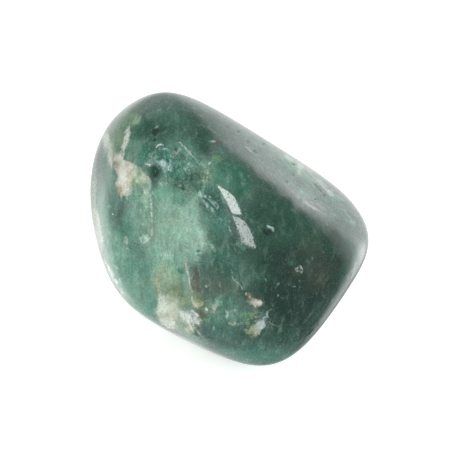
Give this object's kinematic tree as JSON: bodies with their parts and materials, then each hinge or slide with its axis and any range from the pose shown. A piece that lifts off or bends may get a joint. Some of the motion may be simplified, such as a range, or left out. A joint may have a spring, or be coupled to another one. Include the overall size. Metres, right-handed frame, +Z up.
{
  "type": "tumbled tree agate stone",
  "caption": "Polished tumbled pebble of mottled green, mint and cream agate: a rounded irregular stone with softly ridged flats, healed cracks and small pits, lying on its flattest side.",
  "frame": {"origin": "on the surface that the stone rests on, under the middle of its bounding box", "axes": "+X along the stone's longest extent, +Z up along its shortest, and -Y towards the side that shows the cream and mint bands"},
  "size_m": [0.0336, 0.0274, 0.0229],
  "materials": {
    "tree_agate": "polished"
  },
  "bodies": {
    "root": {"tree_agate_stone": "tree_agate"}
  },
  "joints": []
}
